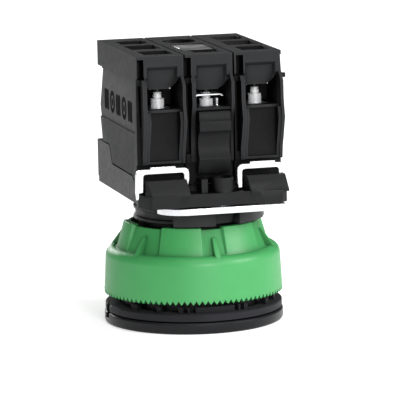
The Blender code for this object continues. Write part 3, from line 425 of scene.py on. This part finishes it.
def circuit_board():
    """Green solder mask with paler tracks under it."""
    shader = Shader("circuit_board")
    tracks = shader.add("TexBrick")
    tracks.inputs["Scale"].default_value = 900.0
    tracks.inputs["Color1"].default_value = (0.01, 0.10, 0.03, 1.0)
    tracks.inputs["Color2"].default_value = (0.012, 0.13, 0.04, 1.0)
    tracks.inputs["Mortar"].default_value = (0.05, 0.24, 0.09, 1.0)
    shader.link(shader.place, tracks.inputs["Vector"])
    shader.feed("Base Color", tracks.outputs["Color"])
    shader.feed("Roughness", shader.spread(shader.noise(700.0), 0.2, 0.4))
    shader.bump(tracks.outputs["Fac"], 0.00002, 0.3)
    return shader.material


def zinc_plate():
    return plated("zinc_plate", ZINC, 0.3)


def block_screw():
    return bright_screw("block_screw", 0.04906, 0.0507)


def light_screw():
    return bright_screw("light_screw", 0.04851, 0.0491)


def contact_brass():
    return plated("contact_brass", BRASS, 0.3)


def spring_steel():
    return plated("spring_steel", STEEL, 0.25)


MAKERS = (
    block_plastic, latch_plastic, collar_plastic, ring_plastic, operator_plastic, green_plastic,
    ivory_plastic, diffuser_white, bezel_metal, gasket_rubber, green_lens, led_green, label_grey,
    circuit_board, zinc_plate, block_screw, light_screw, contact_brass, spring_steel, label_ink,
)
LOOKS = {maker.__name__: maker() for maker in MAKERS}


# ---------------------------------------------------------------- pieces


def dress(obj, look):
    obj.data.materials.clear()
    obj.data.materials.append(LOOKS[look])
    return obj


def stand_for(obj, node):
    """The piece rides with the node's body, takes its finish and is shown in its place."""
    dress(obj, SLOT_OF[node])
    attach(obj, BODY_OF[node])
    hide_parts(node)
    return obj


def add_piece(name, bm, smooth_angle=35.0):
    mesh = bpy.data.meshes.new(name)
    bm.to_mesh(mesh)
    bm.free()
    mesh.shade_smooth()
    mesh.set_sharp_from_angle(angle=math.radians(smooth_angle))
    obj = bpy.data.objects.new(name, mesh)
    bpy.context.scene.collection.objects.link(obj)
    return obj


def soften(node, width):
    """The node's own shape with its triangles joined into faces and its edges rounded. Width is in mm."""
    bm = bmesh.new()
    bm.from_mesh(NODES[node].data)
    bmesh.ops.remove_doubles(bm, verts=bm.verts, dist=WELD * MM)
    bmesh.ops.dissolve_limit(
        bm, angle_limit=math.radians(FLAT), use_dissolve_boundaries=False, verts=bm.verts, edges=bm.edges
    )
    obj = add_piece(node + "_fine", bm)
    bevel = obj.modifiers.new("rounded", "BEVEL")
    bevel.width = width * MM
    bevel.segments = EDGE_STEPS
    bevel.limit_method = "ANGLE"
    bevel.angle_limit = math.radians(SHARP)
    bevel.use_clamp_overlap = True
    bevel.harden_normals = True
    return stand_for(obj, node)


def soften_all():
    for part in ("housing", "side_cover"):
        for block in BLOCKS:
            soften(f"{block}_{part}", SHELL_EDGE)
    for node in ("collar", "locking_ring"):
        soften(node, SHELL_EDGE)
    # The latch takes the darker copy of the blocks' plastic, painted shade.
    dress(soften("release_latch", SHELL_EDGE), "latch_plastic")
    for node in ("clamp_plate", "left_clip", "right_clip"):
        soften(node, STRIP_EDGE)
    for node in ("operator_body", "bezel", "panel_gasket", "lens_cap", "label_window"):
        soften(node, RING_EDGE)
    for block in BLOCKS:
        look = "light_screw" if block == "light" else "block_screw"
        for end in ENDS:
            soften(f"{block}_{end}_clamp", SMALL_EDGE)
            soften(f"{block}_{end}_terminal", SMALL_EDGE)
            dress(soften(f"{block}_{end}_screw", SCREW_EDGE), look)


# ---------------------------------------------------------------- the nut


def toward(point, other, distance):
    """A step of the given length from one point to another, never as far as their middle."""
    gap = math.dist(point, other)
    share = min(distance, gap * 0.45) / gap
    return [p + (o - p) * share for p, o in zip(point, other)]


def rounded(profile, radius, steps=3):
    """The closed profile with each corner replaced by a short curve."""
    points = []
    for i, corner in enumerate(profile):
        start = toward(corner, profile[i - 1], radius)
        end = toward(corner, profile[(i + 1) % len(profile)], radius)
        for step in range(steps + 1):
            t = step / steps
            weights = (1 - t) ** 2, 2 * t * (1 - t), t * t
            points.append([sum(w * p for w, p in zip(weights, trio)) for trio in zip(start, corner, end)])
    return points


def around(angle, radius, height):
    """A point in metres, its angle taken from the front towards +X."""
    return Vector((radius * math.sin(angle), -radius * math.cos(angle), height)) * MM


def bridge(bm, first, second):
    """Faces between two closed rings of the same number of points."""
    for j in range(len(first)):
        k = (j + 1) % len(first)
        bm.faces.new((first[j], first[k], second[k], second[j]))


def spin(bm, profile, columns, shape):
    """Carries a closed profile round the axis; shape gives the radius and height at each angle."""
    rings = []
    for i in range(columns):
        angle = 2 * math.pi * i / columns
        rings.append([bm.verts.new(around(angle, *shape(angle, r, z))) for r, z in profile])
    for i, ring in enumerate(rings):
        bridge(bm, ring, rings[(i + 1) % columns])


def smooth_step(value):
    value = min(1.0, max(0.0, value))
    return value * value * (3 - 2 * value)


def nut_shape(angle, radius, height):
    """The hub's recesses and the skirt's teeth."""
    place = (math.degrees(angle) - RECESS_TURN) * LOBES / 360
    half = NARROW_RECESS if round(place) % 3 == 0 else WIDE_RECESS
    away = abs(place - round(place)) * 360 / LOBES
    share = smooth_step((half + RECESS_MARGIN - away) / RECESS_WALL)
    if height > HUB_LOW and radius > HUB_BORE_R + 0.6:
        radius -= RECESS_DEPTH * share * min(1.0, (height - HUB_LOW) / 0.5)
    if height > NUT_TOP - 0.7:
        height -= RECESS_DROP * share
    if height < NUT_LOW + 0.5:
        across = (angle * NUT_TEETH / (2 * math.pi)) % 1.0
        height += TOOTH_HEIGHT * max(0.0, 1 - abs(across - 0.5) / TOOTH_HALF)
    return radius, height


def nut_profile():
    """Half of the nut's section: down the hub and the skirt's outside, then up its inside."""
    shoulder = [math.radians(a) for a in (82, 70, 58, 46, 34, 22, 8)]
    points = [(HUB_TOP_R, NUT_TOP), (HUB_LOW_R, HUB_LOW), (15.95, HUB_LOW - 0.35), (16.25, HUB_LOW - 0.05)]
    points += [(16.05 + 2.0 * math.cos(a), 13.7 + 2.0 * math.sin(a)) for a in shoulder]
    points += [(NUT_R - 0.05, NUT_LOW + 1.2), (NUT_R, NUT_LOW)]
    points += [(SKIRT_BORE_R, NUT_LOW), (SKIRT_BORE_R, NUT_LOW + 1.2), (SKIRT_BORE_R, 9.4)]
    points += [(SKIRT_FLOOR_R, 9.8), (SKIRT_FLOOR_R, HUB_BOTTOM)]
    return points + [(HUB_BORE_R, HUB_BOTTOM), (HUB_BORE_R, NUT_TOP)]


def add_fin(bm, angle):
    """A buttress against the hub, in one of its recesses, thinner towards its top."""
    outline = [(13.6, FIN_LOW), (17.3, FIN_LOW), (17.6, FIN_LOW + 0.5), (14.45, FIN_TOP), (13.6, FIN_TOP)]
    side = Vector((math.cos(angle), math.sin(angle), 0.0))
    faces = []
    for sign in (-1, 1):
        verts = []
        for radius, height in outline:
            half = FIN_HALF - FIN_TAPER * (height - FIN_LOW) / (FIN_TOP - FIN_LOW)
            verts.append(bm.verts.new(around(angle, radius, height) + side * (sign * half * MM)))
        faces.append(verts)
    made = [bm.faces.new(faces[0]), bm.faces.new(reversed(faces[1]))]
    for j in range(len(outline)):
        k = (j + 1) % len(outline)
        made.append(bm.faces.new((faces[0][k], faces[0][j], faces[1][j], faces[1][k])))
    edges = {edge for face in made for edge in face.edges}
    bmesh.ops.bevel(bm, geom=list(edges), offset=FIN_EDGE * MM, segments=2, affect="EDGES")


def add_nut():
    """The toothed nut, with finer teeth, soft recesses and drafted fins."""
    bm = bmesh.new()
    spin(bm, rounded(nut_profile(), CORNER), NUT_TEETH * 6, nut_shape)
    for i in range(LOBES):
        add_fin(bm, math.radians(FIN_TURN + i * 360 / LOBES))
    bmesh.ops.recalc_face_normals(bm, faces=bm.faces)
    stand_for(add_piece("nut_fine", bm, 40.0), "tightening_nut")


# ---------------------------------------------------------------- springs


def coil_rise(turn, closed):
    """How far up a coil is, from 0 to 1, with one closed turn at each end."""
    if turn < 1:
        return closed * turn
    if turn > COIL_TURNS - 1:
        return 1 - closed * (COIL_TURNS - turn)
    return closed + (1 - 2 * closed) * (turn - 1) / (COIL_TURNS - 2)


def add_coil(node, centre, radius, wire, low, high, joint):
    """A compression spring with closed ends."""
    bm = bmesh.new()
    per_turn = 36
    sides = 10
    bottom = low + wire / 2
    length = high - low - wire
    closed = wire * 1.12 / length
    rings = []
    for i in range(COIL_TURNS * per_turn + 1):
        turn = i / per_turn
        middle = bottom + length * coil_rise(turn, closed)
        angle = 2 * math.pi * turn
        ring = []
        for j in range(sides):
            a = 2 * math.pi * j / sides
            reach = radius + wire / 2 * math.cos(a)
            height = middle + wire / 2 * math.sin(a)
            place = Vector((centre + reach * math.cos(angle), reach * math.sin(angle), height))
            ring.append(bm.verts.new(place * MM))
        rings.append(ring)
    for ring, after in zip(rings, rings[1:]):
        bridge(bm, ring, after)
    bm.faces.new(reversed(rings[0]))
    bm.faces.new(rings[-1])
    bmesh.ops.recalc_face_normals(bm, faces=bm.faces)
    spring = stand_for(add_piece(node + "_fine", bm), node)
    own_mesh(spring)


def add_springs():
    add_coil("return_spring", 0.0, *RETURN_SPRING, "button_press")
    for side, x in PLUNGER_XS.items():
        add_coil(f"{side}_block_plunger_spring", x, *PLUNGER_SPRING, f"{side}_plunger_slide")


# ---------------------------------------------------------------- marks


def loops_at(bm, y, z, width, height, power=1.0):
    """Two rings of a rounded shape, one just inside the label's plastic and one just proud of it."""
    rings = []
    for x in (LABEL_X + MARK_RELIEF, LABEL_X - MARK_RELIEF):
        ring = []
        for i in range(24):
            a = 2 * math.pi * i / 24
            across = math.copysign(abs(math.cos(a)) ** power, math.cos(a)) * width / 2
            up = math.copysign(abs(math.sin(a)) ** power, math.sin(a)) * height / 2
            ring.append(bm.verts.new(Vector((x, y + across, z + up)) * MM))
        rings.append(ring)
    return rings


def add_dot(bm, y, z, width, height, power=1.0):
    """A filled oval, or with a small power a filled bar with rounded corners."""
    back, front = loops_at(bm, y, z, width, height, power)
    bm.faces.new(back)
    bm.faces.new(reversed(front))
    bridge(bm, back, front)


def add_hoop(bm, y, z, width, height, line):
    """An oval outline, its line this wide."""
    back, front = loops_at(bm, y, z, width, height)
    inner_back, inner_front = loops_at(bm, y, z, width - 2 * line, height - 2 * line)
    bridge(bm, back, front)
    bridge(bm, front, inner_front)
    bridge(bm, inner_front, inner_back)
    bridge(bm, inner_back, back)


def add_marks():
    """Plain hoops, dots and bars where the real block is printed."""
    bm = bmesh.new()
    for i in range(MARKS):
        y = MARK_Y - MARK_PITCH * i
        z = MARK_Z - MARK_FALL * i
        if i % 2:
            add_hoop(bm, y, z, *HOOP, HOOP_LINE)
            add_dot(bm, y, z, *DOT)
        else:
            for shift in (-BAR_PITCH, 0.0, BAR_PITCH):
                add_dot(bm, y + shift, z, *BAR, BAR_POWER)
    bmesh.ops.recalc_face_normals(bm, faces=bm.faces)
    marks = dress(add_piece("label_marks", bm), "label_ink")
    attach(marks, "frame")


# ---------------------------------------------------------------- surroundings


def add_camera():
    azimuth = math.radians(AZIMUTH)
    elevation = math.radians(ELEVATION)
    away = Vector((
        -math.sin(azimuth) * math.cos(elevation),
        -math.cos(azimuth) * math.cos(elevation),
        math.sin(elevation),
    ))
    place = away * DISTANCE
    data = bpy.data.cameras.new("camera")
    data.sensor_width = SENSOR
    data.lens = LENS
    data.clip_start = 0.01
    camera = bpy.data.objects.new("camera", data)
    bpy.context.scene.collection.objects.link(camera)
    turn = (Vector(AIM) - place).to_track_quat("-Z", "Y").to_matrix().to_4x4()
    camera.matrix_world = Matrix.Translation(place) @ turn @ Matrix.Rotation(math.radians(-ROLL), 4, "Z")
    bpy.context.scene.camera = camera


def add_floor():
    """A wide sheet of paper that glows a little, so that it stays white."""
    bm = bmesh.new()
    bmesh.ops.create_grid(bm, x_segments=1, y_segments=1, size=FLOOR_SIZE)
    floor = add_piece("floor", bm)
    shader = Shader("floor_paper")
    pale = shader.mix(shader.spread(shader.noise(40.0), 0.0, 1.0), (0.86, 0.86, 0.86), (0.88, 0.88, 0.88))
    shader.feed("Base Color", pale)
    shader.feed("Emission Color", pale)
    shader.set(Roughness=0.9, Emission_Strength=FLOOR_GLOW)
    floor.data.materials.append(shader.material)


def add_lamp(name, azimuth, elevation, distance, size, power):
    """A square soft light that faces the button."""
    data = bpy.data.lights.new(name, "AREA")
    data.shape = "SQUARE"
    data.size = size
    data.energy = power
    lamp = bpy.data.objects.new(name, data)
    bpy.context.scene.collection.objects.link(lamp)
    a = math.radians(azimuth)
    e = math.radians(elevation)
    away = Vector((math.sin(a) * math.cos(e), -math.cos(a) * math.cos(e), math.sin(e))) * distance
    lamp.location = away + Vector((0.0, 0.0, 0.03))
    lamp.rotation_euler = (-away).to_track_quat("-Z", "Y").to_euler()


def add_light():
    world = bpy.data.worlds.new("studio")
    world.use_nodes = True
    backdrop = world.node_tree.nodes["Background"]
    backdrop.inputs["Color"].default_value = (1.0, 1.0, 1.0, 1.0)
    backdrop.inputs["Strength"].default_value = AIR
    bpy.context.scene.world = world
    for name, settings in LAMPS.items():
        add_lamp(name, *settings)
    bpy.context.scene.view_settings.view_transform = "Standard"


add_camera()
add_floor()
add_light()
soften_all()
add_nut()
add_springs()
add_marks()
for node, obj in NODES.items():
    if not obj.hide_render:
        dress(obj, SLOT_OF[node])
